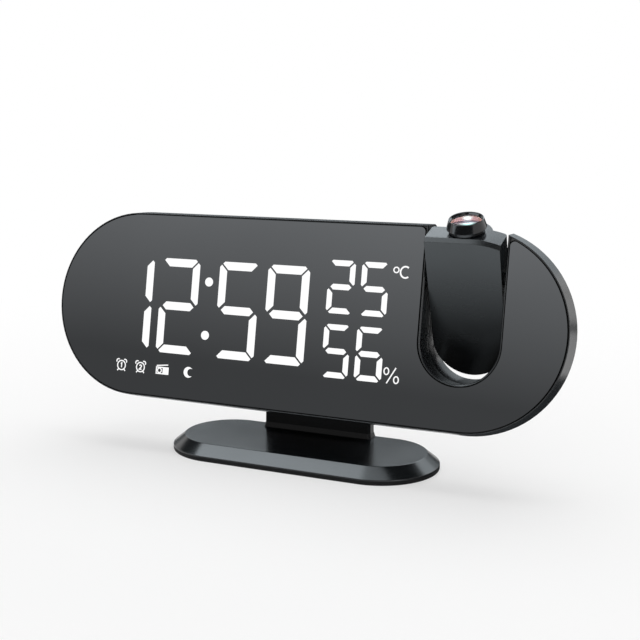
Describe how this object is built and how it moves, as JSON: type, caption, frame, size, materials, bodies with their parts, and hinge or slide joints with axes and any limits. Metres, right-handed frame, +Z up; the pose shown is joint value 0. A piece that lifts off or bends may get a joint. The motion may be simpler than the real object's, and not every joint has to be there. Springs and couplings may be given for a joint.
{
  "type": "projection alarm clock",
  "caption": "Mirror-faced stadium alarm clock on a weighted base, with a projector pod that turns in a U-shaped slot and keys on its back.",
  "frame": {"origin": "centre of the underside of the base", "axes": "+X to the right of somebody facing the display, -Y towards them, +Z up"},
  "size_m": [0.2, 0.0436, 0.0937],
  "materials": {
    "housing_abs": "satin",
    "neck_abs": "satin",
    "pod_abs": "satin",
    "pod_front_abs": "satin",
    "ring_black": "gloss",
    "mirror_acrylic": "half-mirrored",
    "mask_black": "matte",
    "segment_white": "diffusing",
    "segment_dark": "diffusing",
    "led_phosphor": "matte",
    "board_green": "solder mask",
    "switch_black": "matte",
    "key_abs": "satin",
    "pad_rubber": "matte",
    "weight_steel": "zinc",
    "screw_steel": "zinc",
    "pin_nylon": "satin",
    "spring_steel": "plain",
    "cell_steel": "plain",
    "socket_steel": "nickel",
    "socket_black": "matte",
    "speaker_paper": "paper",
    "gland_rubber": "matte",
    "lens_glass": "polished",
    "slide_glass": "polished",
    "led_red": "clear"
  },
  "bodies": {
    "casing": {"base_pad": "pad_rubber", "base_cover": "housing_abs", "base_weight": "weight_steel", "base_screws": "screw_steel", "neck": "neck_abs", "neck_screws": "screw_steel", "mirror_panel": "mirror_acrylic", "front_frame": "housing_abs", "rear_cover": "housing_abs", "housing_screws": "screw_steel", "display_mask": "mask_black", "display_segments_lit": "segment_white", "display_segments_dark": "segment_dark", "display_leds": "led_phosphor", "display_board": "board_green", "display_screws": "screw_steel", "main_board": "board_green", "board_screws": "screw_steel", "key_switches": "switch_black", "speaker": "speaker_paper", "speaker_grille": "housing_abs", "coin_cell": "cell_steel", "battery_contacts": "spring_steel", "usb_socket": "socket_steel", "power_socket": "socket_black", "climate_sensor": "board_green", "aerial_gland": "gland_rubber", "pivot_bushes": "pin_nylon"},
    "pod": {"pod_shell": "pod_abs", "pod_plate": "pod_front_abs", "pod_screws": "screw_steel", "pivot_pin_left": "pin_nylon", "pivot_pin_right": "pin_nylon", "friction_washers": "spring_steel", "retaining_clips": "spring_steel", "lens_barrel": "ring_black", "condenser_lens": "lens_glass", "time_slide": "slide_glass", "projector_led": "led_red", "projector_board": "board_green"},
    "focus_ring": {"focus_ring": "ring_black", "projector_lens": "lens_glass"},
    "mode_key": {"mode_key": "key_abs"},
    "set_key": {"set_key": "key_abs"},
    "up_key": {"up_key": "key_abs"},
    "down_key": {"down_key": "key_abs"},
    "alarm_key": {"alarm_key": "key_abs"},
    "radio_key": {"radio_key": "key_abs"},
    "snooze_bar": {"snooze_bar": "key_abs"},
    "battery_door": {"battery_door": "housing_abs"}
  },
  "joints": [
    {"name": "pod_turn", "type": "hinge", "parent": "casing", "child": "pod", "pos_m": [0.0627, -0.00227, 0.07145], "axis": [1, 0, 0], "range_deg": [-119.4, 60.6]},
    {"name": "focus_turn", "type": "hinge", "parent": "pod", "child": "focus_ring", "pos_m": [0.0627, -0.00543, 0.08727], "axis": [0, -0.3156, 0.9489], "range_deg": [-60, 60]},
    {"name": "mode_press", "type": "slide", "parent": "casing", "child": "mode_key", "axis": [0, -0.9816, 0.1908], "range_m": [0, 0.0005], "stiffness_N_per_m": 400, "springref_m": -0.0015},
    {"name": "set_press", "type": "slide", "parent": "casing", "child": "set_key", "axis": [0, -0.9816, 0.1908], "range_m": [0, 0.0005], "stiffness_N_per_m": 400, "springref_m": -0.0015},
    {"name": "up_press", "type": "slide", "parent": "casing", "child": "up_key", "axis": [0, -0.9816, 0.1908], "range_m": [0, 0.0005], "stiffness_N_per_m": 400, "springref_m": -0.0015},
    {"name": "down_press", "type": "slide", "parent": "casing", "child": "down_key", "axis": [0, -0.9816, 0.1908], "range_m": [0, 0.0005], "stiffness_N_per_m": 400, "springref_m": -0.0015},
    {"name": "alarm_press", "type": "slide", "parent": "casing", "child": "alarm_key", "axis": [0, -0.9816, 0.1908], "range_m": [0, 0.0005], "stiffness_N_per_m": 400, "springref_m": -0.0015},
    {"name": "radio_press", "type": "slide", "parent": "casing", "child": "radio_key", "axis": [0, -0.9816, 0.1908], "range_m": [0, 0.0005], "stiffness_N_per_m": 400, "springref_m": -0.0015},
    {"name": "snooze_press", "type": "slide", "parent": "casing", "child": "snooze_bar", "axis": [0, -0.1908, -0.9816], "range_m": [0, 0.0007], "stiffness_N_per_m": 500, "springref_m": -0.0015},
    {"name": "door_turn", "type": "hinge", "parent": "casing", "child": "battery_door", "pos_m": [-0.042, 0.00727, 0.0482], "axis": [0, 0.9816, -0.1908], "range_deg": [0, 45]}
  ]
}
